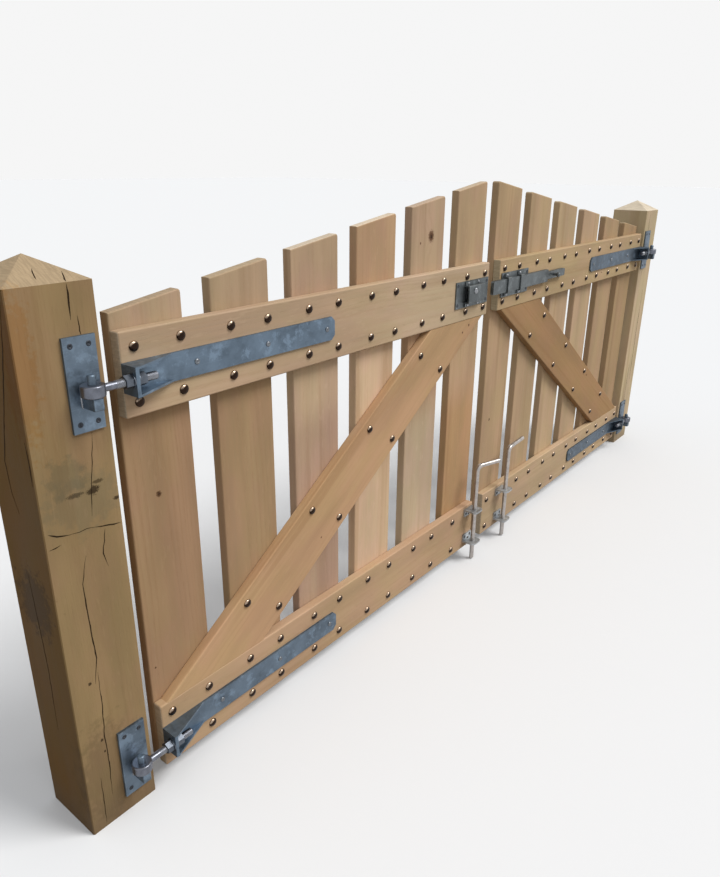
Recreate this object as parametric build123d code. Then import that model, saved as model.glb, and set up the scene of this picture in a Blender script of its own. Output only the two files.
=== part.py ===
from build123d import *
import os
from math import asin, atan2, cos, hypot, radians, sin

# Double-leaf oak picket gate on two posts, in millimetres.
# +X runs along the gate, -Y is the side with the rails, braces and ironwork, +Z is up.
# The origin is the centre of the left post's foot, at ground level.

# Posts
post_w = 165.0          # square section
post_eave = 1211.0      # height to the start of the weathered cap
cap_rise = 45.0         # rise of the four-sided cap
post_arris = 2.0        # eased long edges

# Timber of the leaves
board_w = 175.0         # width of rails and braces
rail_t = 28.0           # thickness of rails and braces
picket_w = 175.0
picket_t = 27.0
picket_gap = 75.0       # clear space between neighbouring pickets
picket_count = 6        # on each leaf
arris = 4.0             # rounded edges of the boards
hinge_gap = 37.0        # post to leaf
meet_gap = 76.0         # between the two leaves
ground_gap = 44.0       # under the bottom rails
top_rail_z = 932.0      # underside of the top rails
picket_foot = 8.0       # pickets end this far above the bottom rail's lower edge
picket_low = 1140.0     # outer top corner of the picket beside the post
picket_step = 39.0      # each next picket towards the middle is this much taller
picket_round = 8.0      # rounding of its higher corner
brace_low_in = 20.0     # brace's lower corner in from the end of the bottom rail
brace_high_in = 27.0    # its upper corner in from the end of the top rail

# Hinges: pintle plate on the post, eyebolt, and a strap with a scooped end
plate_w = 66.0
plate_h = 182.0
plate_t = 6.0
plate_hole_r = 4.5
plate_hole_dx = 37.0
plate_hole_dz = 149.0
pin_r = 8.0
pin_out = 32.0          # pin axis in front of the post's face
pin_inset = 46.0        # pin axis in from the post's edge
pin_above = 30.0        # pin's top above the eyebolt's axis
plate_above = 6.0       # plate's centre above the eyebolt's axis
block_w = 20.0          # support block under the eye
block_h = 24.0
block_past = 17.0       # block's front past the pin's axis
eye_r = 23.0
eye_h = 24.0
eye_play = 0.25         # radial running clearance on the pin
eye_seat = 0.3          # eye above the support block
rod_r = 8.0             # threaded shank of the eyebolt
rod_past = 57.0         # shank's end past the end of the leaf
rod_below = 1.0         # shank's axis below the middle of the rail
nut_af = 24.0
nut_h = 16.0
washer_r = 15.0
washer_t = 3.0
thread_play = 0.1
strap_w = 60.0
strap_t = 6.0
strap_l = 622.0
strap_below = 3.0       # strap's centre line below the middle of the rail
strap_nip = 12.0        # cut corners at the far end
tab_t = 8.0             # end tab that the eyebolt passes through
tab_out = 47.0
tab_hole_r = 9.0
wing_t = 5.0            # upper and lower sides of the scoop
wing_l = 115.0
screw_hole_r = 5.0
strap_screw_in = 177.0  # first screw from the leaf's edge
strap_screw_end = 30.0  # last screw from the strap's far end

# Sliding bolt at the meeting of the top rails
latch_plate_l = 200.0
latch_plate_h = 84.0
latch_plate_t = 4.0
latch_inset = 11.0      # plates stand in from the ends of the rails
bar_h = 46.0
bar_t = 12.0
bar_corner = 4.0
bar_play = 0.5          # guide bridges around the bar
bar_l = 425.0
tail_l = 151.0
tail_h = 28.0
tail_round = 8.0
bridge_t = 4.0
foot_h = 12.0           # feet of the bridges, above and below
bridge_w = 24.0
bridge_x = (19.0, 114.0)
keeper_l = 95.0         # the wide bridge that takes the bar's end
keeper_x = 51.0         # its start from its plate's far end
keeper_play = 1.5       # keeper around the bar
bolt_reach = 3.0        # thrown bar stands out past the keeper
bolt_throw = 172.0
knob_r = 9.0
knob_out = 20.0
knob_x = 48.0           # knob along the tail from the bar's shoulder

# Drop rods and their bracket guides
drop_r = 8.0
drop_out = 30.0         # rod axis in front of the rails
drop_tip = 6.0          # tip above the ground
drop_top = 384.0        # axis of the cranked handle
drop_bend = 22.0
drop_play = 0.3
left_rod_in = 35.0      # left rod in from the end of its rail
right_rod_in = 128.0
left_handle = 105.0
right_handle = 133.0
left_handle_angle = -18.0
right_handle_angle = 4.0
shelf_w = 56.0
shelf_out = 52.0
shelf_t = 6.0
shelf_round = 14.0
flange_h = 30.0
flange_t = 5.0
upper_shelf_z = 208.0   # top of the upper bracket
lower_shelf_z = 72.0    # underside of the lower bracket

# Values that follow from the sizes above
front_y = -post_w / 2
pitch = picket_w + picket_gap
picket_rise = picket_step * picket_w / pitch
leaf_l = picket_w + (picket_count - 1) * pitch
leaf_x = post_w / 2 + hinge_gap
mid_x = leaf_x + leaf_l + meet_gap / 2
rail_end = leaf_x + leaf_l
right_rail_start = rail_end + meet_gap
picket_y = front_y + rail_t
bottom_rail_z = ground_gap
pin_x = post_w / 2 - pin_inset
pin_y = front_y - pin_out
rail_mid = {"top": top_rail_z + board_w / 2, "bottom": bottom_rail_z + board_w / 2}
latch_z = rail_mid["top"]
bar_y = front_y - latch_plate_t - bar_play
drop_y = front_y - drop_out
last_screw = strap_l - strap_screw_end
strap_screws = (strap_screw_in, (strap_screw_in + last_screw) / 2, last_screw)


def block(x0, x1, y0, y1, z0, z1):
    """Box between two corners."""
    centre = Location(((x0 + x1) / 2, (y0 + y1) / 2, (z0 + z1) / 2))
    return centre * Box(abs(x1 - x0), abs(y1 - y0), abs(z1 - z0))


def upright(x, y, z0, z1, radius):
    """Vertical cylinder."""
    return Location((x, y, (z0 + z1) / 2)) * Cylinder(radius, z1 - z0)


def along_x(x0, x1, y, z, radius):
    """Cylinder along the gate."""
    return Location(((x0 + x1) / 2, y, z), (0, 90, 0)) * Cylinder(radius, x1 - x0)


def through_y(x, z, y0, y1, radius):
    """Cylinder square to the gate's face."""
    return Location((x, (y0 + y1) / 2, z), (90, 0, 0)) * Cylinder(radius, abs(y1 - y0))


def other_side(shape):
    """The same piece on the opposite side of the gate's middle."""
    return mirror(shape, about=Plane.YZ.offset(mid_x))


def post():
    """Square post with eased edges under a four-sided weathered cap."""
    shaft = Box(post_w, post_w, post_eave, align=(Align.CENTER, Align.CENTER, Align.MIN))
    shaft = chamfer(shaft.edges().filter_by(Axis.Z), post_arris)
    top = shaft.faces().sort_by(Axis.Z)[-1]
    cap = loft([top, Vertex(0, 0, post_eave + cap_rise)])
    return shaft + cap


def rail(x0, x1, z0):
    """Horizontal board of a leaf."""
    body = block(x0, x1, front_y, front_y + rail_t, z0, z0 + board_w)
    return fillet(body.edges(), arris)


def brace():
    """Diagonal board from the hinge end of the bottom rail to the far end of the top rail."""
    low = (leaf_x + brace_low_in, bottom_rail_z + board_w)
    high = (rail_end - brace_high_in, top_rail_z)
    run = high[0] - low[0]
    climb = high[1] - low[1]
    slope = atan2(climb, run) + asin(board_w / hypot(run, climb))
    reach = board_w / sin(slope)
    outline = Polyline(
        (low[0], low[1]),
        (low[0] + reach, low[1]),
        (high[0], high[1]),
        (high[0] - reach, high[1]),
        close=True,
    )
    sketch = Plane.XZ.offset(-front_y) * make_face(outline)
    board = extrude(sketch, amount=-rail_t)
    long_edges = [edge for edge in board.edges() if edge.length > run / 2]
    return fillet(long_edges, arris)


def picket(index):
    """Upright board whose top is cut to the leaf's rising line, with its higher corner rounded."""
    x0 = leaf_x + index * pitch
    x1 = x0 + picket_w
    foot = bottom_rail_z + picket_foot
    low = picket_low + index * picket_step
    high = low + picket_rise
    outline = Polyline((x0, foot), (x1, foot), (x1, high), (x0, low), close=True)
    face = make_face(outline)
    peak = face.vertices().sort_by(Axis.Y)[-1]
    face = fillet(peak, picket_round)
    sketch = Plane.XZ.offset(-picket_y) * face
    board = extrude(sketch, amount=-picket_t)
    sides = board.faces().sort_by(Axis.Y)
    return fillet(sides[0].edges() + sides[-1].edges(), arris)


def pintle(z):
    """Plate on the post with a support block and an upright pin, for an eyebolt at height z."""
    half = plate_w / 2
    low = z + plate_above - plate_h / 2
    plate = block(pin_x - half, pin_x + half, front_y - plate_t, front_y, low, low + plate_h)
    seat = z - eye_h / 2 - eye_seat
    half = block_w / 2
    support = block(pin_x - half, pin_x + half, pin_y - block_past, front_y - plate_t, seat - block_h, seat)
    support = chamfer(support.faces().sort_by(Axis.Y)[0].edges(), 1.5)
    pin = upright(pin_x, pin_y, seat, z + pin_above, pin_r)
    pin = chamfer(pin.edges().group_by(Axis.Z)[-1], 2)
    body = plate + support + pin
    for dx in (-plate_hole_dx / 2, plate_hole_dx / 2):
        for dz in (-plate_hole_dz / 2, plate_hole_dz / 2):
            hole_z = z + plate_above + dz
            body -= through_y(pin_x + dx, hole_z, front_y - plate_t - 1, front_y + 1, plate_hole_r)
    return body


def eyebolt(z):
    """Forged eye on a straight threaded shank."""
    eye = upright(pin_x, pin_y, z - eye_h / 2, z + eye_h / 2, eye_r)
    eye = fillet(eye.edges(), 4)
    shank = along_x(pin_x, leaf_x + rod_past, pin_y, z, rod_r)
    shank = chamfer(shank.edges().sort_by(Axis.X)[-1], 2)
    bore = upright(pin_x, pin_y, z - eye_h, z + eye_h, pin_r + eye_play)
    return eye + shank - bore


def hex_nut(x, z):
    """Nut on the shank, from x towards +X."""
    outline = RegularPolygon(nut_af / 2, 6, major_radius=False)
    nut = Location((x, pin_y, z), (0, 90, 0)) * extrude(outline, amount=nut_h)
    return nut - along_x(x - 1, x + nut_h + 1, pin_y, z, rod_r + thread_play)


def washer(x, z):
    ring = along_x(x, x + washer_t, pin_y, z, washer_r)
    return ring - along_x(x - 1, x + washer_t + 1, pin_y, z, rod_r + thread_play)


def nuts(z):
    """Nut and washer on each side of the strap's end tab."""
    outer = washer(leaf_x - washer_t, z) + hex_nut(leaf_x - washer_t - nut_h, z)
    inner = washer(leaf_x + tab_t, z) + hex_nut(leaf_x + tab_t + washer_t, z)
    return Compound([outer, inner])


def hinge_strap(mid):
    """Flat bar whose end is a scoop: an end tab between an upper and a lower wing."""
    z = mid - strap_below
    bar = block(leaf_x, leaf_x + strap_l, front_y - strap_t, front_y, z - strap_w / 2, z + strap_w / 2)
    far_corners = bar.edges().filter_by(Axis.Y).group_by(Axis.X)[-1]
    bar = chamfer(far_corners, strap_nip)
    tab = block(leaf_x, leaf_x + tab_t, front_y - tab_out, front_y, z - strap_w / 2, z + strap_w / 2)
    wing_outline = Polyline(
        (leaf_x, front_y - strap_t),
        (leaf_x, front_y - tab_out),
        (leaf_x + tab_t, front_y - tab_out),
        (leaf_x + wing_l, front_y - strap_t),
        close=True,
    )
    lower = Location((0, 0, z - strap_w / 2)) * extrude(make_face(wing_outline), amount=wing_t)
    upper = Location((0, 0, z + strap_w / 2 - wing_t)) * extrude(make_face(wing_outline), amount=wing_t)
    body = bar + tab + lower + upper
    body -= along_x(leaf_x - 1, leaf_x + tab_t + 1, pin_y, mid - rod_below, tab_hole_r)
    for x in strap_screws:
        body -= through_y(leaf_x + x, z, front_y - strap_t - 1, front_y + 1, screw_hole_r)
    return body


def bridge(x0, length, play):
    """Band over the bar: a web in front, two legs, and feet above and below on the plate."""
    inner = bar_h / 2 + play
    outer = inner + bridge_t
    foot = outer + foot_h
    back = front_y - latch_plate_t
    inside = bar_y - bar_t - play
    band = block(x0, x0 + length, inside - bridge_t, back, latch_z - outer, latch_z + outer)
    band = fillet(band.edges().filter_by(Axis.X).group_by(Axis.Y)[0], bridge_t)
    feet = block(x0, x0 + length, back - bridge_t, back, latch_z - foot, latch_z + foot)
    return band + feet - block(x0 - 1, x0 + length + 1, inside, back, latch_z - inner, latch_z + inner)


def latch_plate(x0):
    low = latch_z - latch_plate_h / 2
    return block(x0, x0 + latch_plate_l, front_y - latch_plate_t, front_y, low, low + latch_plate_h)


def latch_keeper():
    """Plate on the left rail with one wide bridge that the bar slides into."""
    x0 = rail_end - latch_inset - latch_plate_l
    return latch_plate(x0) + bridge(x0 + keeper_x, keeper_l, keeper_play)


def latch_guide():
    """Plate on the right rail with two bridges that carry the bar."""
    x0 = right_rail_start + latch_inset
    body = latch_plate(x0)
    for x in bridge_x:
        body += bridge(x0 + x, bridge_w, bar_play)
    return body


def slide_bolt():
    """Flat bar with a narrow tail and a turned knob, drawn back clear of the left leaf."""
    thrown = rail_end - latch_inset - latch_plate_l + keeper_x - bolt_reach
    x0 = thrown + bolt_throw
    shoulder = x0 + bar_l
    back, front = bar_y, bar_y - bar_t
    bar = block(x0, shoulder, front, back, latch_z - bar_h / 2, latch_z + bar_h / 2)
    bar = chamfer(bar.edges().filter_by(Axis.Y), bar_corner)
    lap = shoulder - bar_corner
    tail = block(lap, shoulder + tail_l, front, back, latch_z - tail_h / 2, latch_z + tail_h / 2)
    tail = fillet(tail.edges().filter_by(Axis.Y).group_by(Axis.X)[-1], tail_round)
    stem = through_y(shoulder + knob_x, latch_z, front - knob_out, front, knob_r * 0.6)
    head = Location((shoulder + knob_x, front - knob_out, latch_z)) * Sphere(knob_r)
    return bar + tail + stem + head


def drop_rod(x, handle, turn):
    """Round rod with a cranked handle at its top."""
    side = Vector(cos(radians(turn)), sin(radians(turn)), 0)
    foot = Vector(x, drop_y, drop_tip)
    neck = Vector(x, drop_y, drop_top - drop_bend)
    elbow = Vector(x, drop_y, drop_top) + side * drop_bend
    end = Vector(x, drop_y, drop_top) + side * handle
    stem = Line(foot, neck)
    bend = TangentArc(neck, elbow, tangent=(0, 0, 1))
    grip = Line(elbow, end)
    path = Wire([stem, bend, grip])
    section = Plane(foot, z_dir=(0, 0, 1)) * Circle(drop_r)
    return sweep(section, path)


def rod_bracket(x, shelf_z, up):
    """Angle bracket: a shelf bored for the rod and a flange on the rail."""
    half = shelf_w / 2
    shelf = block(x - half, x + half, front_y - shelf_out, front_y, shelf_z, shelf_z + shelf_t)
    shelf = fillet(shelf.edges().filter_by(Axis.Z).group_by(Axis.Y)[0], shelf_round)
    flange_low = shelf_z if up else shelf_z + shelf_t - flange_h
    flange = block(x - half, x + half, front_y - flange_t, front_y, flange_low, flange_low + flange_h)
    bore = upright(x, drop_y, shelf_z - 1, shelf_z + shelf_t + 1, drop_r + drop_play)
    return shelf + flange - bore


def rod_guides(x):
    """Upper and lower bracket of one drop rod."""
    upper = rod_bracket(x, upper_shelf_z - shelf_t, up=False)
    lower = rod_bracket(x, lower_shelf_z, up=True)
    return Compound([upper, lower])


def gate():
    """Every piece by name."""
    pieces = {}
    left_post = post()
    pieces["left_post"] = left_post
    pieces["right_post"] = other_side(left_post)
    for level, z0 in (("top", top_rail_z), ("bottom", bottom_rail_z)):
        mid = rail_mid[level]
        rod_z = mid - rod_below
        far_end = 2 * mid_x - leaf_x
        pieces[f"left_{level}_rail"] = rail(leaf_x, rail_end, z0)
        pieces[f"right_{level}_rail"] = rail(right_rail_start, far_end, z0)
        hardware = {
            "pintle": pintle(rod_z),
            "eyebolt": eyebolt(rod_z),
            "nuts": nuts(rod_z),
            "strap": hinge_strap(mid),
        }
        for name, shape in hardware.items():
            pieces[f"left_{level}_{name}"] = shape
            pieces[f"right_{level}_{name}"] = other_side(shape)
    pieces["left_brace"] = brace()
    pieces["right_brace"] = other_side(brace())
    for index in range(picket_count):
        board = picket(index)
        pieces[f"left_picket_{index + 1}"] = board
        pieces[f"right_picket_{index + 1}"] = other_side(board)
    left_rod_x = rail_end - left_rod_in
    right_rod_x = right_rail_start + right_rod_in
    pieces["latch_keeper"] = latch_keeper()
    pieces["latch_guide"] = latch_guide()
    pieces["slide_bolt"] = slide_bolt()
    pieces["left_rod_guides"] = rod_guides(left_rod_x)
    pieces["right_rod_guides"] = rod_guides(right_rod_x)
    pieces["left_drop_rod"] = drop_rod(left_rod_x, left_handle, left_handle_angle)
    pieces["right_drop_rod"] = drop_rod(right_rod_x, right_handle, right_handle_angle)
    return pieces


os.makedirs("parts", exist_ok=True)
for name, shape in gate().items():
    export_step(shape, f"parts/{name}.step")
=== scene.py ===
import random
from math import asin, atan2, cos, hypot, pi, sin, tan

import bmesh
import bpy
from mathutils import Matrix, Vector


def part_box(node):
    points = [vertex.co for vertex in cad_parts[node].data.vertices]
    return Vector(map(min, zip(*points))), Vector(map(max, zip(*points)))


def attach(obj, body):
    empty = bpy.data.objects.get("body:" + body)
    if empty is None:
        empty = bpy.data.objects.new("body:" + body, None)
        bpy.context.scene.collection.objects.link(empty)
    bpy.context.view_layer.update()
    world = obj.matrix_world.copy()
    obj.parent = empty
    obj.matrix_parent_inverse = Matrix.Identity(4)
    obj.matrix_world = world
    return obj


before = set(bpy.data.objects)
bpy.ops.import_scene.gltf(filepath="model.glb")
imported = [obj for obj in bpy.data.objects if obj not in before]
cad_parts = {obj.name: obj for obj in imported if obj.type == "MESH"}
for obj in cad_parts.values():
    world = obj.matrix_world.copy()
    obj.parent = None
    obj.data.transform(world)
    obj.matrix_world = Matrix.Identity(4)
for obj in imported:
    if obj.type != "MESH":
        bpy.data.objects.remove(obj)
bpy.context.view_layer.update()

# A double-leaf oak picket gate on two posts, in metres.
# +X runs along the gate, -Y is the side with the rails and ironwork, +Z is up.

POST_W = 0.165
CAP_RISE = 0.045
FRONT_Y = -POST_W / 2
LEAF_X = 0.1195
LEAF_L = 1.425
MEET_GAP = 0.076
MID_X = LEAF_X + LEAF_L + MEET_GAP / 2
BOARD_W = 0.175
RAIL_T = 0.028
PICKET_W = 0.175
PICKET_T = 0.027
PITCH = 0.250
PICKETS = 6
BOTTOM_RAIL_Z = 0.044
TOP_RAIL_Z = 0.932
BACK_Y = FRONT_Y + RAIL_T + PICKET_T
RAIL_MID = {"top": TOP_RAIL_Z + BOARD_W / 2, "bottom": BOTTOM_RAIL_Z + BOARD_W / 2}

BOLT_COLUMN = 0.056      # bolts to each side of a picket's middle
BOLT_EDGE = 0.031        # bolts in from a rail's edge
BRACE_BOLT_EDGE = 0.030
BRACE_LOW_IN = 0.020
BRACE_HIGH_IN = 0.027

PIN_X = 0.0365
PIN_Y = FRONT_Y - 0.032
PLATE_T = 0.006
PLATE_HOLES = (0.037, 0.149)
STRAP_T = 0.006
STRAP_SCREWS = (0.177, 0.3845, 0.592)
ROD_BELOW = 0.001
PLATE_ABOVE = 0.005
STRAP_BELOW = 0.003
BLOCK_W = 0.020
BLOCK_H = 0.024
BLOCK_TOP = 0.0123       # below the shank's axis
SHANK_R = 0.008
SHANK_END = LEAF_X + 0.057

LATCH_Z = RAIL_MID["top"]
KEEPER_X = LEAF_X + LEAF_L - 0.211       # far end of the keeper's plate
GUIDE_X = LEAF_X + LEAF_L + MEET_GAP + 0.011
LATCH_PLATE = (0.200, 0.084, 0.004)
LATCH_BAND = 0.022                       # keeper's face in front of the rails
DROP_X = {"left": LEAF_X + LEAF_L - 0.035, "right": LEAF_X + LEAF_L + MEET_GAP + 0.128}
FLANGE_T = 0.005
BRACKET_SCREW_X = (-0.018, 0.018)        # to each side of a drop rod
BRACKET_SCREW_Z = (0.189, 0.091)
LATCH_SCREW_IN = 0.010                   # in from the ends of the bolt's plates
LATCH_SCREW_OFF = 0.031                  # above and below the bolt's middle
KEEPER_DOME_AT = (0.091, 0.0095)         # from the keeper's far end, and above the bolt's middle
WELD_R = 0.0024
THREAD_PITCH = 0.0022
THREAD_START = LEAF_X - 0.036            # the outer nut

EAST = Vector((1, 0, 0))
FRONT = Vector((0, -1, 0))
BACK = Vector((0, 1, 0))
UP = Vector((0, 0, 1))

rng = random.Random(41)


# Materials

class Paint:
    """Short calls for building one material's nodes."""

    def __init__(self, name):
        self.material = bpy.data.materials.new(name)
        self.material.use_nodes = True
        self.tree = self.material.node_tree
        self.shader = self.tree.nodes["Principled BSDF"]
        places = self.tree.nodes.new("ShaderNodeTexCoord").outputs
        self.spot = places["Object"]
        self.facing = places["Normal"]

    def feed(self, value, socket):
        """Links an output to the socket, or sets a plain value on it."""
        if isinstance(value, bpy.types.NodeSocket):
            self.tree.links.new(value, socket)
        else:
            socket.default_value = value

    def math(self, operation, a, b=0.0):
        node = self.tree.nodes.new("ShaderNodeMath")
        node.operation = operation
        self.feed(a, node.inputs[0])
        self.feed(b, node.inputs[1])
        return node.outputs[0]

    def vector(self, operation, a, b=(0.0, 0.0, 0.0), output="Vector"):
        node = self.tree.nodes.new("ShaderNodeVectorMath")
        node.operation = operation
        self.feed(a, node.inputs[0])
        self.feed(tuple(b), node.inputs[1])
        return node.outputs[output]

    def dot(self, a, direction):
        return self.vector("DOT_PRODUCT", a, direction, "Value")

    def shift(self, a, offset):
        return self.vector("ADD", a, offset)

    def swing(self, value, amount):
        """How far the value is from one half, times the amount."""
        return self.math("MULTIPLY", self.math("SUBTRACT", value, 0.5), amount)

    def length(self, a, b):
        """Length of the two sides' diagonal."""
        squares = self.math("ADD", self.math("MULTIPLY", a, a), self.math("MULTIPLY", b, b))
        return self.math("SQRT", squares)

    def blot(self, centre, radii):
        """Ellipsoid with a ragged, soft edge: 1 at its middle and 0 outside."""
        off = self.vector("DIVIDE", self.shift(self.spot, -Vector(centre)), radii)
        reach = self.vector("LENGTH", off, output="Value")
        ragged = self.swing(self.noise(self.spot, 2.2 / min(radii), 4.0, 0.65), 1.8)
        return self.level(self.math("ADD", reach, ragged), 1.0, 0.55)

    def stretch(self, parts, factors, seed):
        """A vector of the three values, each times its factor, moved by the seed."""
        node = self.tree.nodes.new("ShaderNodeCombineXYZ")
        for index, (part, factor) in enumerate(zip(parts, factors)):
            self.feed(self.math("MULTIPLY", part, factor), node.inputs[index])
        return self.shift(node.outputs[0], (seed * 3.7, seed * 1.9, seed * 5.3))

    def grain(self, parts, factors, seed, detail, roughness=0.5):
        """Noise that is drawn out by the factors, along each of the three parts."""
        return self.noise(self.stretch(parts, factors, seed), detail=detail, roughness=roughness)

    def noise(self, vector, scale=1.0, detail=2.0, roughness=0.5):
        node = self.tree.nodes.new("ShaderNodeTexNoise")
        self.feed(vector, node.inputs["Vector"])
        node.inputs["Scale"].default_value = scale
        node.inputs["Detail"].default_value = detail
        node.inputs["Roughness"].default_value = roughness
        return node.outputs["Fac"]

    def cells(self, vector, scale):
        node = self.tree.nodes.new("ShaderNodeTexVoronoi")
        self.feed(vector, node.inputs["Vector"])
        node.inputs["Scale"].default_value = scale
        return self.dot(node.outputs["Color"], (0.4, 0.4, 0.2))

    def level(self, value, low, high, out_low=0.0, out_high=1.0):
        """Maps low..high to out_low..out_high, held at both ends."""
        node = self.tree.nodes.new("ShaderNodeMapRange")
        node.interpolation_type = "SMOOTHSTEP"
        self.feed(value, node.inputs["Value"])
        for socket, number in (
            ("From Min", low), ("From Max", high), ("To Min", out_low), ("To Max", out_high)
        ):
            node.inputs[socket].default_value = number
        return node.outputs["Result"]

    def mix(self, factor, a, b, blend="MIX"):
        node = self.tree.nodes.new("ShaderNodeMix")
        node.data_type = "RGBA"
        node.blend_type = blend
        self.feed(factor, node.inputs["Factor"])
        self.feed(a, node.inputs[6])
        self.feed(b, node.inputs[7])
        return node.outputs[2]

    def finish(self, colour, roughness, height=None, depth=0.0003, strength=0.5, **fixed):
        self.feed(colour, self.shader.inputs["Base Color"])
        self.feed(roughness, self.shader.inputs["Roughness"])
        for socket, value in fixed.items():
            self.shader.inputs[socket.replace("_", " ")].default_value = value
        if height is not None:
            bump = self.tree.nodes.new("ShaderNodeBump")
            bump.inputs["Strength"].default_value = strength
            bump.inputs["Distance"].default_value = depth
            self.feed(height, bump.inputs["Height"])
            self.feed(bump.outputs["Normal"], self.shader.inputs["Normal"])
        return self.material


def colour(red, green, blue):
    return (red, green, blue, 1.0)


def shade(tone, factor):
    return colour(*(channel * factor for channel in tone[:3]))


def tinted(tone, tint):
    return colour(*(channel * factor for channel, factor in zip(tone, tint)))


def oak(
    name, grain, centre, tone, seed, pith,
    knots=(), ring=0.0085, weather=0.0, blots=(), end=(1.05, 1.18, 1.30), painted_west_shade=None, fades=(),
):
    """Solid oak: growth rings round a pith line along the grain, pores, streaks and knots.

    grain is the direction of the fibres, and pith the place of the rings' middle
    across and behind the board's own centre. Each knot is (along, across, radius), each
    blot (centre, radii, tint), and each fade (axis, start, stop, tint), which comes in from
    start and is full past stop. end tints the sawn ends, partly their paler end grain and partly
    painted light from the pale sky, and west darkens the -X face as painted shade.
    """
    paint = Paint(name)
    local = paint.shift(paint.spot, -Vector(centre))
    side = Vector(grain).cross(BACK)
    along = paint.dot(local, grain)
    across = paint.dot(local, side)
    depth = paint.dot(local, BACK)
    place = (along, across, depth)

    sway = paint.grain(place, (1.1, 3.2, 3.2), seed, 1.0)
    ripple = paint.grain(place, (7.0, 36.0, 36.0), seed + 1.0, 2.0)
    bend = paint.math("ADD", paint.swing(sway, 0.085), paint.swing(ripple, 0.006))

    knot_dark = 0.0
    knot_eye = 0.0
    ragged = paint.noise(paint.spot, scale=240.0, detail=3.0) if knots else 0.5
    for knot_along, knot_across, radius in knots:
        off_along = paint.math("MULTIPLY", paint.math("SUBTRACT", along, knot_along), 0.85)
        off_across = paint.math("SUBTRACT", across, knot_across)
        distance = paint.math("ADD", paint.length(off_along, off_across), paint.swing(ragged, radius * 1.3))
        bulge = paint.level(distance, radius * 3.6, radius * 0.5, 0.0, radius * 1.5)
        bend = paint.math("ADD", bend, bulge)
        core = paint.level(distance, radius * 1.05, radius * 0.45)
        knot_dark = paint.math("MAXIMUM", core, knot_dark)
        eye = paint.level(distance, radius * 0.40, radius * 0.16)
        knot_eye = paint.math("MAXIMUM", eye, knot_eye)

    ring_across = paint.math("ADD", paint.math("ADD", across, pith[0]), bend)
    radius = paint.length(ring_across, paint.math("ADD", depth, pith[1]))
    good_years = paint.grain((radius, along, 0.0), (55.0, 0.5, 0.0), seed + 7.0, 2.0)
    radius = paint.math("ADD", radius, paint.math("MULTIPLY", good_years, 0.022))
    year = paint.math("FRACT", paint.math("DIVIDE", radius, ring))
    late_wood = paint.math("MULTIPLY", paint.level(year, 0.0, 0.55), paint.level(year, 1.0, 0.88))
    early_wood = paint.math("SUBTRACT", 1.0, late_wood)
    clear = paint.grain(place, (2.4, 17.0, 17.0), seed + 8.0, 2.0)
    ring_contrast = paint.level(clear, 0.34, 0.66, 0.02, 0.08 if weather else 0.17)

    pores = paint.math(
        "MULTIPLY",
        paint.level(paint.grain(place, (42.0, 760.0, 760.0), seed + 2.0, 1.0), 0.57, 0.67),
        paint.level(late_wood, 1.0, 0.2, 0.25, 1.0),
    )
    streaks = paint.grain(place, (2.6, 150.0, 150.0), seed + 3.0, 3.0)
    clouds = paint.grain(place, (1.8, 9.0, 9.0), seed + 4.0, 3.0)
    bands = paint.grain(place, (0.9, 24.0, 24.0), seed + 9.0, 2.0)
    flecks = paint.grain(place, (26.0, 130.0, 520.0), seed + 5.0, 1.0)
    hues = paint.grain(place, (5.0, 9.5, 9.5), seed + 11.0, 3.0, 0.55)

    rosy = colour(1.03, 0.985, 1.00)
    straw = colour(0.985, 1.00, 0.93)
    pink = tinted(tone, (1.03, 0.92, 0.86))
    heartwood = tinted(tone, (0.78, 0.70, 0.60))
    early = tinted(tone, (0.78, 0.69, 0.58))
    body = paint.mix(paint.level(clouds, 0.32, 0.68), shade(tone, 0.86), shade(tone, 1.11))
    body = paint.mix(1.0, body, paint.mix(paint.level(hues, 0.38, 0.64), straw, rosy), "MULTIPLY")
    body = paint.mix(paint.level(streaks, 0.30, 0.75, 0.0, 0.18 if weather else 0.30), body, pink)
    body = paint.mix(paint.level(bands, 0.54, 0.74, 0.0, 0.55), body, heartwood)
    body = paint.mix(paint.math("MULTIPLY", early_wood, ring_contrast), body, early)
    body = paint.mix(paint.level(flecks, 0.62, 0.72, 0.0, 0.25), body, shade(tone, 1.14))
    pore_share = paint.math("MULTIPLY", pores, 0.09 if weather else 0.12)
    body = paint.mix(pore_share, body, tinted(tone, (0.50, 0.425, 0.35)))
    for axis, start, stop, tint in fades:
        share = paint.level(paint.dot(paint.spot, axis), start, stop)
        body = paint.mix(share, body, colour(*tint), "MULTIPLY")
    if knots:
        heart = tinted(tone, (0.26, 0.19, 0.15))
        body = paint.mix(paint.math("MULTIPLY", knot_dark, 0.95), body, heart)
        body = paint.mix(paint.math("MULTIPLY", knot_eye, 0.85), body, colour(0.030, 0.016, 0.010))

    # Sawn ends, lighter and bluer than the long faces: partly the end grain's own paler colour, partly
    # painted light from the pale sky, as on the tops.
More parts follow.
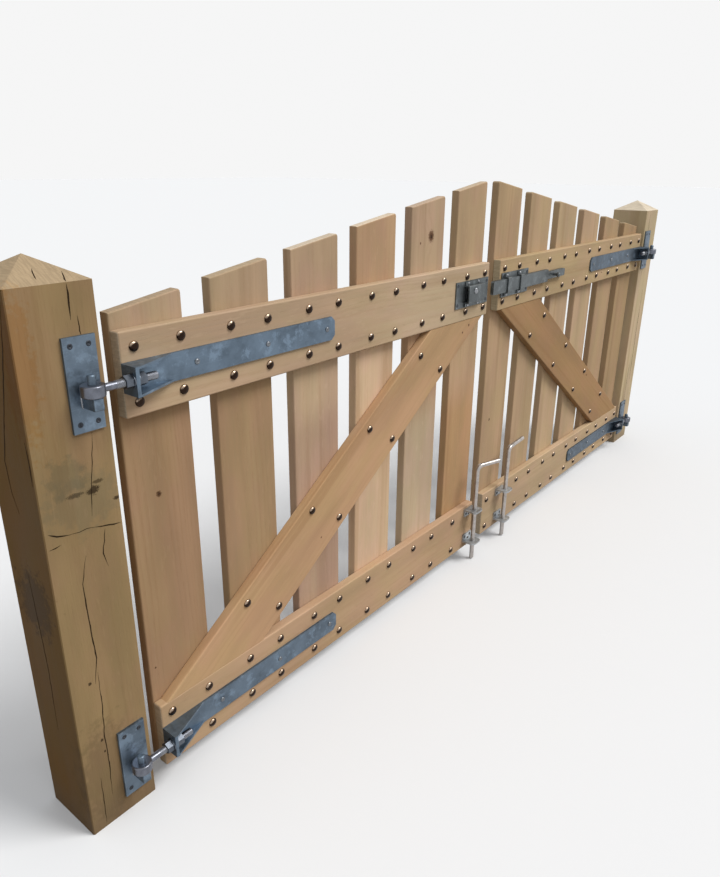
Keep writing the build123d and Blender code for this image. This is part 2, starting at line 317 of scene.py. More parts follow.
    sawn = paint.level(paint.math("ABSOLUTE", paint.dot(paint.facing, grain)), 0.50, 0.86)
    end_grain_and_sky_light = tinted(tone, end)
    kerf = paint.grain(place, (30.0, 240.0, 34.0), seed + 10.0, 3.0)
    ends = paint.mix(paint.level(kerf, 0.3, 0.72), shade(end_grain_and_sky_light, 0.86), shade(end_grain_and_sky_light, 1.10))
    ends = paint.mix(paint.math("MULTIPLY", early_wood, 0.22), ends, shade(end_grain_and_sky_light, 0.70))
    body = paint.mix(sawn, body, ends)
    # Painted shade: this tint darkens the -X face, standing in for the shade on that side.
    if painted_west_shade:
        shady = paint.level(paint.dot(paint.facing, EAST), -0.55, -0.9)
        body = paint.mix(shady, body, colour(*painted_west_shade), "MULTIPLY")
    for spot, radii, tint in blots:
        body = paint.mix(paint.blot(spot, radii), body, colour(*tint), "MULTIPLY")
    if weather:
        stain = paint.grain(place, (2.2, 13.0, 13.0), seed + 6.0, 4.0, 0.62)
        grime = paint.math("MULTIPLY", paint.level(stain, 0.50, 0.74), weather)
        body = paint.mix(grime, body, tinted(tone, (0.42, 0.40, 0.40)))
        splash = paint.math("ADD", paint.dot(paint.spot, UP), paint.swing(stain, 0.16))
        body = paint.mix(paint.level(splash, 0.11, 0.0, 0.0, 0.45), body, colour(0.12, 0.085, 0.055))
    grit = paint.math("SUBTRACT", paint.math("MULTIPLY", late_wood, 0.35), pores)
    grit = paint.math("ADD", grit, paint.math("MULTIPLY", streaks, 0.15 if weather else 0.35))
    roughness = paint.level(clouds, 0.3, 0.7, 0.60, 0.74)
    return paint.finish(body, roughness, grit, depth=0.00035, strength=0.40, Specular_IOR_Level=0.12)


def galvanised(name, tone, seed, spangle=95.0):
    """Hot-dip zinc: soft crystals, cloudy patches, pale bloom and a few scratches."""
    paint = Paint(name)
    here = paint.shift(paint.spot, (seed * 2.3, seed * 0.7, seed * 1.7))
    crystals = paint.cells(here, spangle)
    clouds = paint.noise(here, scale=11.0, detail=4.0, roughness=0.6)
    bloom = paint.noise(here, scale=30.0, detail=5.0, roughness=0.68)
    parts = [paint.dot(here, axis) for axis in (EAST, BACK, UP)]
    scratches = paint.grain(parts, (18.0, 500.0, 620.0), seed, 1.0)
    body = paint.mix(paint.level(clouds, 0.30, 0.70), shade(tone, 0.66), shade(tone, 1.20))
    body = paint.mix(paint.level(crystals, 0.2, 0.8, 0.0, 0.35), body, shade(tone, 1.30))
    body = paint.mix(paint.level(bloom, 0.50, 0.68, 0.0, 0.70), body, shade(tone, 1.80))
    body = paint.mix(paint.level(scratches, 0.66, 0.74, 0.0, 0.30), body, shade(tone, 1.55))
    roughness = paint.math(
        "ADD", paint.level(crystals, 0.2, 0.8, 0.40, 0.52), paint.level(bloom, 0.6, 0.76, 0.0, 0.16)
    )
    return paint.finish(body, roughness, clouds, depth=0.0006, strength=0.35, Metallic=0.82)


def plated(name, tone, seed, roughness=0.30, metallic=0.95):
    """Bright zinc plate with faint brushing and dull finger marks."""
    paint = Paint(name)
    here = paint.shift(paint.spot, (seed, seed * 1.3, seed * 0.4))
    marks = paint.noise(here, scale=60.0, detail=4.0, roughness=0.6)
    fine = paint.noise(here, scale=900.0, detail=1.0)
    body = paint.mix(paint.level(marks, 0.35, 0.70), shade(tone, 0.82), shade(tone, 1.10))
    gloss = paint.level(marks, 0.3, 0.75, roughness - 0.07, roughness + 0.12)
    return paint.finish(body, gloss, fine, depth=0.00008, strength=0.25, Metallic=metallic)


def stained_with_painted_highlight(name, stain, painted_highlight):
    """Cup heads stained dark by the oak, with a painted highlight: a pale zinc colour on the side turned up
    and to the left, standing in for the sky's reflection.
    """
    paint = Paint(name)
    marks = paint.noise(paint.spot, scale=260.0, detail=3.0)
    # Painted highlight: faces turned up and to the left get the pale colour, in place of the sky's
    # reflection and the sun's glint.
    sky_facing = paint.dot(paint.facing, Vector((-0.42, -0.25, 0.87)))
    edge = paint.math("ADD", sky_facing, paint.swing(marks, 0.35))
    body = paint.mix(paint.level(edge, 0.50, 0.74, 0.0, 0.90), colour(*stain), colour(*painted_highlight))
    gloss = paint.level(marks, 0.3, 0.7, 0.22, 0.34)
    return paint.finish(body, gloss, marks, depth=0.0001, strength=0.2, Metallic=1.0)


def painted_crack_shade(name):
    """Inside of a crack: near black, painted shade of the crack's depth over the dry wood's faint fibres.
    """
    paint = Paint(name)
    fibres = paint.noise(paint.spot, scale=380.0, detail=2.0)
    body = paint.mix(fibres, colour(0.013, 0.008, 0.005), colour(0.048, 0.030, 0.016))
    return paint.finish(body, 0.9, Specular_IOR_Level=0.08)


# Pieces

def piece(name, mesh, body, material):
    """Adds a mesh as a piece that rides on a body and takes a slot's finish."""
    thing = bpy.data.objects.new(name, mesh)
    bpy.context.scene.collection.objects.link(thing)
    thing.data.materials.append(material)
    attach(thing, body)
    return thing


def facing(point, axis, turn=0.0):
    """Placement whose local Z points along the axis."""
    aim = Vector(axis).to_track_quat("Z", "Y").to_matrix().to_4x4()
    return Matrix.Translation(point) @ aim @ Matrix.Rotation(turn, 4, "Z")


def circle(build, place, radius, height, sides):
    """New corners in a circle about the placement's local Z, or one corner on it."""
    if radius == 0.0:
        return [build.verts.new(place @ Vector((0, 0, height)))]
    corners = []
    for k in range(sides):
        turn = 2 * pi * k / sides
        corners.append(build.verts.new(place @ Vector((radius * cos(turn), radius * sin(turn), height))))
    return corners


def lathe(build, profile, place, sides=20, flat_sides=False):
    """Turns a profile of (radius, height) points about the placement's local Z."""
    rings = [circle(build, place, radius, height, sides) for radius, height in profile]
    for low, high in zip(rings, rings[1:]):
        for k in range(sides):
            after = (k + 1) % sides
            if len(low) == 1:
                face = build.faces.new((low[0], high[k], high[after]))
            elif len(high) == 1:
                face = build.faces.new((low[k], high[0], low[after]))
            else:
                face = build.faces.new((low[k], high[k], high[after], low[after]))
            face.smooth = not flat_sides


def divided(points, step):
    """The points of a line with even steps between them."""
    fine = []
    for start, end in zip(points, points[1:]):
        start, end = Vector(start), Vector(end)
        count = max(2, int((end - start).length / step))
        fine += [start.lerp(end, k / count) for k in range(count)]
    return fine + [Vector(points[-1])]


def tube(build, rows, smooth=False):
    """Joins rows of corners into one skin that is closed at both ends."""
    for before, after in zip(rows, rows[1:]):
        for k in range(len(before)):
            ahead = (k + 1) % len(before)
            build.faces.new((before[k], before[ahead], after[ahead], after[k])).smooth = smooth
    build.faces.new(rows[0])
    build.faces.new(rows[-1])


def finished(build, name):
    """Closes the build into a mesh with its faces turned outward."""
    mesh = bpy.data.meshes.new(name)
    bmesh.ops.remove_doubles(build, verts=build.verts, dist=0.000002)
    bmesh.ops.recalc_face_normals(build, faces=build.faces)
    build.to_mesh(mesh)
    build.free()
    return mesh


def dome_profile(radius, height, steps=6):
    """Cup head from its crown down to its rim."""
    points = [(0.0, height)]
    for step in range(1, steps + 1):
        angle = step / steps * pi / 2
        points.append((radius * sin(angle), height * 0.12 + height * 0.88 * cos(angle)))
    points += [(radius * 0.995, -0.0002), (0.0, -0.0002)]
    return points


DOME = dome_profile(0.011, 0.0068)
KEEPER_DOME = dome_profile(0.010, 0.0055)
RIVET = dome_profile(0.0048, 0.0028, 5)
STRAP_SCREW = [
    (0.0, 0.0024), (0.0016, 0.0022), (0.0022, 0.0036), (0.0045, 0.0032), (0.0064, 0.0016),
    (0.0068, -0.0002), (0.0045, -0.003), (0.0045, -0.006), (0.0, -0.006),
]
PLATE_SCREW = [
    (0.0, -0.0014), (0.0019, -0.0014), (0.0023, 0.0009), (0.0042, 0.0010), (0.0054, 0.0004),
    (0.0056, -0.0002), (0.0040, -0.003), (0.0040, -0.0035), (0.0, -0.0035),
]
WASHER = [(0.0042, 0.0), (0.0042, 0.0016), (0.0115, 0.0016), (0.0119, 0.0012), (0.0119, 0.0), (0.0042, 0.0)]
NUT = [
    (0.0040, 0.0016), (0.0040, 0.0082), (0.0062, 0.0084), (0.0075, 0.0078), (0.0075, 0.0020),
    (0.0062, 0.0016), (0.0040, 0.0016),
]
STUD = [(0.0, 0.0125), (0.0030, 0.0125), (0.0040, 0.0115), (0.0040, 0.0), (0.0, 0.0)]


def bolt_spots(leaf, level):
    """Places of a rail's bolts as (x, z), two rows of two to each picket."""
    low = (TOP_RAIL_Z if level == "top" else BOTTOM_RAIL_Z) + BOLT_EDGE
    high = low + BOARD_W - 2 * BOLT_EDGE
    spots = []
    for index in range(PICKETS):
        middle = LEAF_X + index * PITCH + PICKET_W / 2
        for x in (middle - BOLT_COLUMN, middle + BOLT_COLUMN):
            for z in (low, high):
                spots.append((x, z))
    return [(on_leaf(leaf, x), z) for x, z in spots]


def on_leaf(leaf, x):
    """A left leaf's x, or the same place on the right leaf."""
    return x if leaf == "left" else 2 * MID_X - x


def brace_lines():
    """Slope of the left brace, and the x at the bottom rail's top where each long edge starts."""
    low_x = LEAF_X + BRACE_LOW_IN
    high_x = LEAF_X + LEAF_L - BRACE_HIGH_IN
    climb = TOP_RAIL_Z - BOTTOM_RAIL_Z - BOARD_W
    run = high_x - low_x
    slope = atan2(climb, run) + asin(BOARD_W / hypot(run, climb))
    return slope, low_x, low_x + BOARD_W / sin(slope)


def brace_spots(leaf):
    """Places of a brace's bolts, by turns near its upper and its lower edge."""
    slope, upper_x, lower_x = brace_lines()
    base = BOTTOM_RAIL_Z + BOARD_W
    inward = BRACE_BOLT_EDGE / cos(slope)
    spots = []
    for index in range(1, PICKETS - 1):
        middle = LEAF_X + index * PITCH + PICKET_W / 2
        outer = middle - BOLT_COLUMN
        inner = middle + BOLT_COLUMN
        spots.append((outer, base + (outer - upper_x) * tan(slope) - inward))
        spots.append((inner, base + (inner - lower_x) * tan(slope) + inward))
    return [(on_leaf(leaf, x), z) for x, z in spots]


def bolts(name, spots, body, dark_metal, bright_metal):
    """Cup heads in front, and washers with nuts at the back of the pickets."""
    heads = bmesh.new()
    backs = bmesh.new()
    for x, z in spots:
        x += rng.uniform(-0.0015, 0.0015)
        z += rng.uniform(-0.0015, 0.0015)
        tilt = Vector((rng.uniform(-0.02, 0.02), 0, rng.uniform(-0.02, 0.02)))
        lathe(heads, DOME, facing((x, FRONT_Y, z), FRONT + tilt))
        place = facing((x, BACK_Y, z), BACK, rng.uniform(0, pi))
        lathe(backs, WASHER, place, sides=18)
        lathe(backs, NUT, place, sides=6, flat_sides=True)
        lathe(backs, STUD, place, sides=10)
    piece(name + "_heads", finished(heads, name + "_heads"), body, dark_metal)
    piece(name + "_nuts", finished(backs, name + "_nuts"), body, bright_metal)


def screws(name, profile, points, body, material):
    """Screw heads facing the front."""
    build = bmesh.new()
    for point in points:
        lathe(build, profile, facing(point, FRONT, rng.uniform(0, pi)), sides=18)
    piece(name, finished(build, name), body, material)


def thread(name, leaf, z, body, material):
    """Helical ridge on an eyebolt's shank, from the outer nut to the shank's end."""
    steps = 20
    root = SHANK_R - 0.0001
    crest = SHANK_R + 0.0006
    turns = int((SHANK_END - 0.002 - THREAD_START) / THREAD_PITCH)
    build = bmesh.new()
    rows = []
    for k in range(turns * steps + 1):
        angle = 2 * pi * k / steps
        x = THREAD_START + THREAD_PITCH * k / steps
        row = []
        for shift, radius in ((-0.42, root), (0.0, crest), (0.42, root)):
            side_x = on_leaf(leaf, x + shift * THREAD_PITCH)
            row.append(build.verts.new((side_x, PIN_Y + radius * cos(angle), z + radius * sin(angle))))
        rows.append(row)
    tube(build, rows)
    piece(name, finished(build, name), body, material)


def bead(name, points, radius, body, material):
    """Lumpy weld bead along a line."""
    build = bmesh.new()
    fine = divided(points, 0.0016)
    last = len(fine) - 1
    rings = []
    for k, spot in enumerate(fine):
        place = facing(spot, fine[min(k + 1, last)] - fine[max(k - 1, 0)])
        swell = radius * (0.82 + 0.22 * abs(sin(k * 1.15)) + rng.uniform(-0.06, 0.06))
        rings.append(circle(build, place, swell, 0.0, 8))
    tube(build, rings, smooth=True)
    piece(name, finished(build, name), body, material)


def crack(build, points, width, normal):
    """A thin dark split that opens and closes along its line, let into the face."""
    fine = divided(points, 0.012)
    last = len(fine) - 1
    top = normal * 0.0003
    low = normal * -0.002
    rows = []
    for k, spot in enumerate(fine):
        ahead = (fine[min(k + 1, last)] - fine[max(k - 1, 0)]).normalized()
        across = ahead.cross(normal)
        open_by = width * min(1.0, 4.0 * k / last, 4.0 * (last - k) / last) * rng.uniform(0.55, 1.1)
        middle = spot + across * rng.uniform(-0.0009, 0.0009)
        reach = across * (open_by / 2 + 0.00008)
        corners = (-reach + top, reach + top, reach * 0.3 + low, reach * -0.3 + low)
        rows.append([build.verts.new(middle + corner) for corner in corners])
    tube(build, rows)


def on_front(points, x0=0.0):
    return [(x0 + x, FRONT_Y, z) for x, z in points]


# Finishes of the wood

def middle_of(node):
    low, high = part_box(node)
    return (Vector(low) + Vector(high)) / 2


def wood():
    """Gives every board and post its own piece of oak."""
    rails = {
        "left_top_rail": ((0.489, 0.364, 0.246), (0.03, 0.10)),
        "left_bottom_rail": ((0.485, 0.338, 0.215), (-0.05, 0.13)),
        "right_top_rail": ((0.465, 0.345, 0.210), (0.06, 0.09)),
        "right_bottom_rail": ((0.495, 0.368, 0.245), (0.0, 0.12)),
    }
    knots = {
        "right_top_rail": [(0.24, -0.05, 0.004)],
        "left_top_rail": [(-0.44, -0.060, 0.004)],
        "left_brace": [(-0.20, -0.043, 0.003), (0.688, -0.055, 0.005), (0.646, -0.050, 0.004)],
        "right_brace": [(0.22, 0.055, 0.005)],
        "left_picket_1": [(0.126, 0.0141, 0.008), (-0.30, 0.07, 0.003)],
        "left_picket_5": [(0.523, -0.0164, 0.018), (0.506, 0.0393, 0.004)],
        "right_picket_3": [(0.30, -0.02, 0.005)],
        "right_picket_6": [(-0.2, 0.03, 0.006)],
    }
    # Bands that tint a board towards its top, its bottom or its east end: painted light and shade, lighter
    # and bluer where sky light falls, darker where shade falls.
    upper = (UP, 0.93, 1.10)
    fades = {
        "left_top_rail": [(EAST, 0.87, 1.17, (1.05, 1.09, 1.14))],
        "left_picket_1": [(*upper, (1.25, 1.40, 1.60))],
        "left_picket_2": [(*upper, (1.05, 1.16, 1.28))],
        "left_picket_3": [(*upper, (0.79, 0.76, 0.76)), (UP, 0.84, 0.72, (0.82, 0.77, 0.82))],
        "left_picket_4": [(*upper, (0.80, 0.72, 0.67))],
        "left_picket_5": [(*upper, (0.96, 1.04, 1.09)), (UP, 0.75, 0.58, (1.14, 1.32, 1.42))],
        "left_picket_6": [(*upper, (0.91, 0.93, 0.94)), (UP, 0.75, 0.58, (0.95, 0.86, 0.75))],
    }
    for seed, (node, (tone, pith)) in enumerate(rails.items()):
        paint(node, oak(
            node, EAST, middle_of(node), tone, 3.1 + seed, pith,
            knots=knots.get(node, ()), fades=fades.get(node, ()),
        ))
    slope = brace_lines()[0]
    for sign, node, tone in (
        (1, "left_brace", (0.500, 0.328, 0.192)),
        (-1, "right_brace", (0.360, 0.225, 0.118)),
    ):
        grain = Vector((cos(slope), 0, sign * sin(slope)))
        paint(node, oak(node, grain, middle_of(node), tone, 11.3 + sign, (0.02, 0.11), knots[node]))
    # The pickets' tones are partly the boards' own colour and partly painted light and shade: the first two
    # left pickets are darkened as in shade, the third and fourth lightened.
    tones = {
        "left": [
            (0.360, 0.238, 0.142), (0.400, 0.272, 0.162), (0.555, 0.412, 0.285),
            (0.625, 0.462, 0.318), (0.475, 0.320, 0.212), (0.500, 0.350, 0.224),
        ],
        "right": [
            (0.385, 0.270, 0.162), (0.430, 0.305, 0.190), (0.475, 0.350, 0.228),
            (0.495, 0.368, 0.238), (0.465, 0.340, 0.215), (0.455, 0.325, 0.205),
        ],
    }
    for leaf, leaf_seed in (("left", 20.0), ("right", 29.0)):
        for index, tone in enumerate(tones[leaf]):
            node = f"{leaf}_picket_{index + 1}"
            pith = (rng.uniform(-0.08, 0.08), rng.uniform(0.07, 0.15))
            paint(node, oak(
                node, UP, middle_of(node), tone, leaf_seed + index * 1.7, pith,
                knots=knots.get(node, ()), fades=fades.get(node, ()),
            ))
    mark = (0.22, 0.20, 0.19)
    marks = [
        ((0.029, FRONT_Y, 0.812), (0.016, 0.030, 0.011), mark),
        ((-0.010, FRONT_Y, 0.8135), (0.022, 0.030, 0.006), (0.42, 0.42, 0.42)),
        ((0.0395, FRONT_Y, 0.8275), (0.015, 0.030, 0.005), (0.40, 0.38, 0.36)),
        ((-0.022, FRONT_Y, 0.853), (0.048, 0.050, 0.050), (0.76, 0.82, 0.87)),
        ((0.005, FRONT_Y, 0.795), (0.095, 0.050, 0.070), (0.85, 0.90, 0.96)),
        ((0.0765, FRONT_Y, 0.779), (0.010, 0.010, 0.005), mark),
        ((-0.038, FRONT_Y, 0.390), (0.005, 0.010, 0.005), mark),
        ((-0.031, FRONT_Y, 0.235), (0.004, 0.010, 0.005), mark),
        ((-0.028, FRONT_Y, 0.202), (0.003, 0.010, 0.004), mark),
        ((-0.072, FRONT_Y, 1.070), (0.032, 0.060, 0.170), (0.97, 0.84, 0.68)),
        ((-0.030, FRONT_Y, 0.140), (0.090, 0.060, 0.160), (0.78, 0.79, 0.78)),
        ((FRONT_Y, -0.002, 0.575), (0.040, 0.080, 0.088), (0.55, 0.54, 0.56)),
    ]
    # The left post's -X face gets painted shade. The posts' tones are partly their own weathered colour and
    # partly painted light and shade: the left post is darkened, the right post lightened.
    posts = (
        ("left_post", 0.0, 41.0, marks, (0.308, 0.214, 0.114), (0.40, 0.31, 0.15)),
        ("right_post", 2 * MID_X, 47.0, (), (0.540, 0.435, 0.290), None),
    )
    for node, centre_x, seed, blots, tone, painted_west_shade in posts:
        centre = Vector((centre_x, 0, 0.6))
        paint(node, oak(
            node, UP, centre, tone, seed, (0.012, 0.018),
            ring=0.0040, weather=0.30, blots=blots, end=(1.25, 1.35, 1.58), painted_west_shade=painted_west_shade,
        ))


def paint(node, material):
    """Puts a material on all of a node's slots."""
    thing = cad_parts[node]
    if not thing.material_slots:
        thing.data.materials.append(material)
    for place in thing.material_slots:
        place.material = material


# Cracks of the posts

def post_cracks(material):
    left = bmesh.new()
    front_lines = [
        ([(0.0315, 1.209), (0.0312, 1.174), (0.0306, 1.144)], 0.0034),
        ([(0.0432, 1.151), (0.0442, 1.131), (0.0457, 1.114)], 0.0022),
        ([(0.041, 0.929), (0.036, 0.885), (0.031, 0.854), (0.018, 0.760)], 0.0018),
        ([(-0.006, 0.682), (-0.021, 0.624), (-0.020, 0.536), (-0.016, 0.443), (-0.026, 0.382)], 0.0028),
        ([(-0.018, 0.408), (-0.018, 0.330), (-0.024, 0.241), (-0.023, 0.150), (-0.026, 0.075)], 0.0024),
        ([(-0.047, 0.140), (-0.049, 0.010)], 0.0016),
        ([(-0.074, 0.755), (-0.057, 0.745), (-0.030, 0.739)], 0.0034),
        ([(-0.033, 0.7395), (-0.012, 0.7370), (0.004, 0.7375), (0.023, 0.7340)], 0.0013),
        ([(0.020, 0.735), (0.049, 0.727), (0.078, 0.722)], 0.0034),
        ([(-0.076, 0.723), (-0.051, 0.725)], 0.0020),
        ([(0.042, 0.723), (0.031, 0.671), (0.039, 0.638)], 0.0022),
    ]
    for line, width in front_lines:
        crack(left, on_front(line), width, FRONT)
    cap_lines = [
        ([(0.0400, -0.055, 1.2260), (0.0350, -0.070, 1.2178), (0.0317, -0.0815, 1.2115)], 0.0030),
        ([(-0.0060, -0.040, 1.2342), (-0.0120, -0.056, 1.2255), (-0.0150, -0.068, 1.2189)], 0.0022),
    ]
    cap_normal = Vector((0, -CAP_RISE, POST_W / 2)).normalized()
    for line, width in cap_lines:
        crack(left, line, width, cap_normal)
    side_lines = [
        ([(-0.070, 1.190), (-0.051, 1.106), (-0.007, 0.969),
          (0.020, 0.881), (0.016, 0.817), (-0.001, 0.777)], 0.0030),
        ([(-0.072, 0.941), (-0.076, 0.887), (-0.074, 0.855)], 0.0030),
        ([(0.010, 0.640), (-0.004, 0.420), (0.002, 0.250)], 0.0022),
    ]
    for line, width in side_lines:
        crack(left, [(-POST_W / 2, y, z) for y, z in line], width, -EAST)
    piece("left_post_cracks", finished(left, "left_post_cracks"), "posts", material)

    right = bmesh.new()
    x0 = 2 * MID_X
    for line, width in (
        ([(-0.030, 1.205), (-0.026, 1.060), (-0.034, 0.900)], 0.0026),
        ([(0.024, 0.820), (0.018, 0.600), (0.025, 0.330)], 0.0030),
        ([(-0.012, 0.430), (-0.018, 0.240), (-0.010, 0.060)], 0.0020),
    ):
        crack(right, on_front(line, x0), width, FRONT)
        crack(right, [(x - 0.01 + x0, -FRONT_Y, z - 0.03) for x, z in line], width, BACK)
    for outward in (-EAST, EAST):
        x = x0 + outward.x * POST_W / 2
        crack(right, [(x, 0.020, 1.160), (x, 0.012, 0.900), (x, 0.022, 0.620)], 0.0028, outward)
        crack(right, [(x, -0.030, 0.560), (x, -0.022, 0.300), (x, -0.034, 0.110)], 0.0022, outward)
    piece("right_post_cracks", finished(right, "right_post_cracks"), "posts", material)

    behind = bmesh.new()
    for line, width in (
        ([(0.020, 1.200), (0.026, 0.980), (0.014, 0.760)], 0.0030),
        ([(-0.030, 0.700), (-0.022, 0.480), (-0.032, 0.210)], 0.0026),
    ):
        crack(behind, [(x, -FRONT_Y, z) for x, z in line], width, BACK)
        crack(behind, [(POST_W / 2, x, z - 0.04) for x, z in line], width, EAST)
    piece("left_post_back_cracks", finished(behind, "left_post_back_cracks"), "posts", material)


def ironwork():
    """Metals of the carried-over nodes, and the small fasteners."""
    zinc = (0.128, 0.174, 0.228)
    bright = (0.30, 0.31, 0.33)
    # Cup heads: dark oak stain, with a painted highlight on the side turned up.
    dark_metal = stained_with_painted_highlight("cup_head_metal", (0.030, 0.018, 0.013), (0.46, 0.35, 0.26))
    dull_metal = plated("screw_metal", (0.055, 0.060, 0.070), 3.0, roughness=0.42)
    bright_metal = plated("nut_metal", bright, 5.0)
    screw_metal = plated("strap_screw_metal", (0.19, 0.205, 0.225), 8.0, roughness=0.36)
    for leaf, body, seed, dull in (("left", "left_leaf", 1.0, 1.0), ("right", "right_leaf", 6.0, 0.66)):
        for level, mid in RAIL_MID.items():
            key = f"{leaf}_{level}"
            seed += 1.0
            rod_z = mid - ROD_BELOW
            paint(f"{key}_strap", galvanised(f"{key}_strap", shade(zinc, dull), seed))
            paint(f"{key}_pintle", galvanised(f"{key}_pintle", (0.130, 0.172, 0.220), seed + 0.4))
            paint(f"{key}_eyebolt", plated(f"{key}_eyebolt", (0.175, 0.186, 0.220), seed, roughness=0.34))
            paint(f"{key}_nuts", plated(f"{key}_nuts", (0.125, 0.142, 0.170), seed, roughness=0.36))
            bolts(f"{key}_rail_bolts", bolt_spots(leaf, level), body, dark_metal, bright_metal)
            strap_face = FRONT_Y - STRAP_T
            points = [(on_leaf(leaf, LEAF_X + x), strap_face, mid - STRAP_BELOW) for x in STRAP_SCREWS]
            screws(f"{key}_strap_screws", STRAP_SCREW, points, body, screw_metal)
            dx, dz = PLATE_HOLES[0] / 2, PLATE_HOLES[1] / 2
            plate_z = mid + PLATE_ABOVE
            corners = [(i * dx, j * dz) for i in (-1, 1) for j in (-1, 1)]
            points = [(on_leaf(leaf, PIN_X + x), FRONT_Y - PLATE_T, plate_z + z) for x, z in corners]
            screws(f"{key}_plate_screws", PLATE_SCREW, points, "posts", dull_metal)
            thread(f"{key}_thread", leaf, rod_z, body, bright_metal)
            weld(key, leaf, rod_z, bright_metal)
        bolts(f"{leaf}_brace_bolts", brace_spots(leaf), body, dark_metal, bright_metal)
        points = [
            (DROP_X[leaf] + x, FRONT_Y - FLANGE_T, z) for x in BRACKET_SCREW_X for z in BRACKET_SCREW_Z
        ]
        screws(f"{leaf}_bracket_screws", PLATE_SCREW, points, body, dull_metal)
    latch_fasteners(bright_metal, dull_metal)
    for node, seed in (("latch_keeper", 14.0), ("latch_guide", 15.0), ("slide_bolt", 16.0)):
        paint(node, galvanised(node, (0.118, 0.132, 0.138), seed, 130.0))
    for leaf in ("left", "right"):
        paint(f"{leaf}_rod_guides", galvanised(f"{leaf}_rod_guides", (0.37, 0.39, 0.405), 18.0))
        paint(f"{leaf}_drop_rod", plated(f"{leaf}_drop_rod", (0.47, 0.44, 0.42), 21.0, roughness=0.33))


def latch_fasteners(bright_metal, dull_metal):
    """Rivets on the feet of the sliding bolt's bridges, and the screws of its plates."""
    foot_y = FRONT_Y - 2 * LATCH_PLATE[2]
    plate_y = FRONT_Y - LATCH_PLATE[2]
    for name, body, x0, rivet_x, rivet_z in (
        ("keeper", "left_leaf", KEEPER_X, (0.067, 0.130), 0.0345),
        ("guide", "right_leaf", GUIDE_X, (0.031, 0.126), 0.0335),
    ):
        points = [(x0 + x, foot_y, LATCH_Z + j * rivet_z) for x in rivet_x for j in (-1, 1)]
        screws(f"{name}_rivets", RIVET, points, body, bright_metal)
        ends = (LATCH_SCREW_IN, LATCH_PLATE[0] - LATCH_SCREW_IN)
        points = [(x0 + x, plate_y, LATCH_Z + j * LATCH_SCREW_OFF) for x in ends for j in (-1, 1)]
        screws(f"{name}_plate_screws", PLATE_SCREW, points, body, dull_metal)
    spot = (KEEPER_X + KEEPER_DOME_AT[0], FRONT_Y - LATCH_BAND, LATCH_Z + KEEPER_DOME_AT[1])
    screws("keeper_dome", KEEPER_DOME, [spot], "left_leaf", bright_metal)


def weld(key, leaf, z, material):
    """Weld round three sides of the support block, on the plate."""
    half = BLOCK_W / 2
    top = z - BLOCK_TOP
    low = top - BLOCK_H
    y = FRONT_Y - PLATE_T
    corners = [(PIN_X - half, top), (PIN_X - half, low), (PIN_X + half, low), (PIN_X + half, top)]
    line = [(on_leaf(leaf, x), y, height) for x, height in corners]
    bead(f"{key}_weld", line, WELD_R, "posts", material)


# Camera, floor and light

def look():
    """The photographer's place: a solved camera with its heading, pitch and a slight roll."""
    heading, pitch, roll = 0.6746, 0.3663, 0.0094
    stand = Vector((-0.6264, -1.2683, 1.4048))
    ahead = Vector((cos(heading) * cos(pitch), sin(heading) * cos(pitch), -sin(pitch)))
    level = Vector((sin(heading), -cos(heading), 0))
    upright = level.cross(ahead)
    right = level * cos(roll) + upright * sin(roll)
    above = upright * cos(roll) - level * sin(roll)
    camera = bpy.data.objects.new("camera", bpy.data.cameras.new("camera"))
    camera.data.sensor_fit = "HORIZONTAL"
    camera.data.sensor_width = 36.0
    camera.data.lens = 35.55
    camera.data.clip_end = 100.0
    camera.matrix_world = Matrix((
        (right.x, above.x, -ahead.x, stand.x),
        (right.y, above.y, -ahead.y, stand.y),
        (right.z, above.z, -ahead.z, stand.z),
        (0, 0, 0, 1),
    ))
    bpy.context.scene.collection.objects.link(camera)
    bpy.context.scene.camera = camera


def seen_rays(nodes, tree):
    """1 for rays from the camera, from mirrors and through glass, and 0 for the others."""
    path = nodes.new("ShaderNodeLightPath").outputs
    total = path["Is Camera Ray"]
    for name in ("Is Glossy Ray", "Is Transmission Ray"):
        either = nodes.new("ShaderNodeMath")
        either.operation = "MAXIMUM"
        tree.links.new(total, either.inputs[0])
        tree.links.new(path[name], either.inputs[1])
        total = either.outputs[0]
    return total


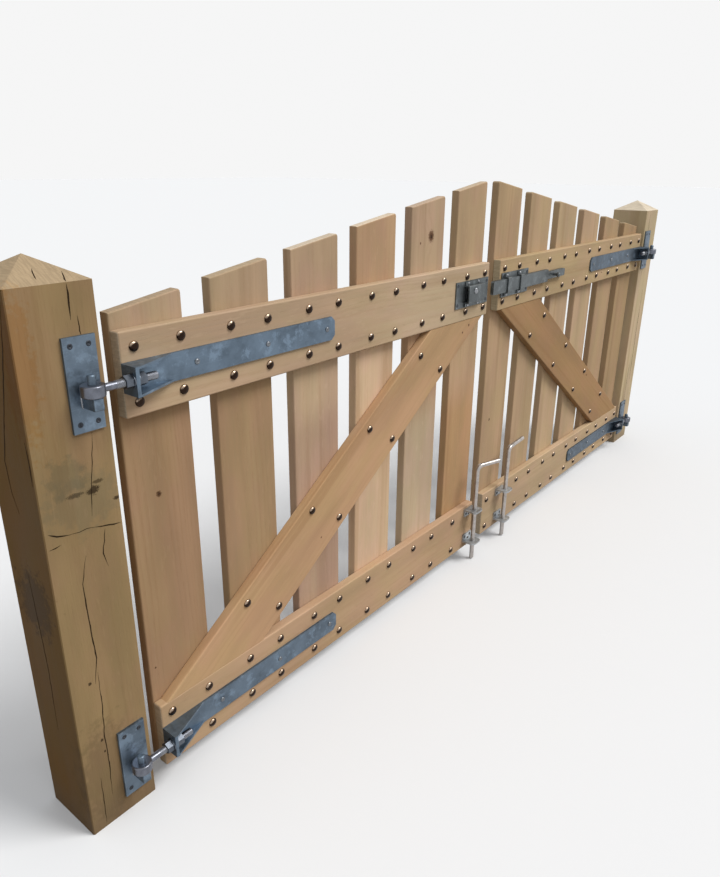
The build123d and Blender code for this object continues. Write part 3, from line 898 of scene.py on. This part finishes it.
def surroundings():
    """Plain pale floor, a pale sky that is brighter on the near side, and one broad soft sun."""
    toward_sun = Vector((0.42, -0.62, 0.95)).normalized()
    toward_light = Vector((-0.30, -0.60, 0.74)).normalized()
    build = bmesh.new()
    corners = [build.verts.new((x, y, 0)) for x, y in ((-60, -60), (64, -60), (64, 64), (-60, 64))]
    build.faces.new(corners)
    floor = bpy.data.objects.new("floor", finished(build, "floor"))
    bpy.context.scene.collection.objects.link(floor)
    ground = Paint("floor_paint")
    bounced, seen = colour(0.22, 0.20, 0.17), colour(0.768, 0.785, 0.808)
    pale = ground.mix(seen_rays(ground.tree.nodes, ground.tree), bounced, seen)
    floor.data.materials.append(ground.finish(pale, 0.9, Specular_IOR_Level=0.0))

    sun = bpy.data.objects.new("sun", bpy.data.lights.new("sun", "SUN"))
    sun.data.energy = 2.2
    sun.data.angle = 0.45
    sun.data.color = (1.0, 0.975, 0.94)
    sun.matrix_world = facing((0, 0, 5), toward_sun)
    bpy.context.scene.collection.objects.link(sun)

    world = bpy.data.worlds.new("sky")
    world.use_nodes = True
    bpy.context.scene.world = world
    tree = world.node_tree
    nodes = tree.nodes
    direction = nodes.new("ShaderNodeTexCoord").outputs["Generated"]
    slant = nodes.new("ShaderNodeVectorMath")
    slant.operation = "DOT_PRODUCT"
    tree.links.new(direction, slant.inputs[0])
    slant.inputs[1].default_value = tuple(toward_light)
    strength = nodes.new("ShaderNodeMapRange")
    tree.links.new(slant.outputs["Value"], strength.inputs["Value"])
    for socket, number in (("From Min", -0.2), ("From Max", 1.0), ("To Min", 0.34), ("To Max", 0.92)):
        strength.inputs[socket].default_value = number
    backdrop = nodes["Background"]
    backdrop.inputs["Color"].default_value = colour(0.94, 0.94, 0.94)
    tree.links.new(strength.outputs["Result"], backdrop.inputs["Strength"])
    seen_sky = nodes.new("ShaderNodeBackground")
    seen_sky.inputs["Color"].default_value = colour(0.92, 0.92, 0.92)
    seen_sky.inputs["Strength"].default_value = 1.0
    either = nodes.new("ShaderNodeMixShader")
    tree.links.new(seen_rays(nodes, tree), either.inputs[0])
    tree.links.new(backdrop.outputs[0], either.inputs[1])
    tree.links.new(seen_sky.outputs[0], either.inputs[2])
    tree.links.new(either.outputs[0], nodes["World Output"].inputs["Surface"])
    bpy.context.scene.view_settings.view_transform = "Standard"


wood()
ironwork()
post_cracks(painted_crack_shade("crack_dark"))
look()
surroundings()
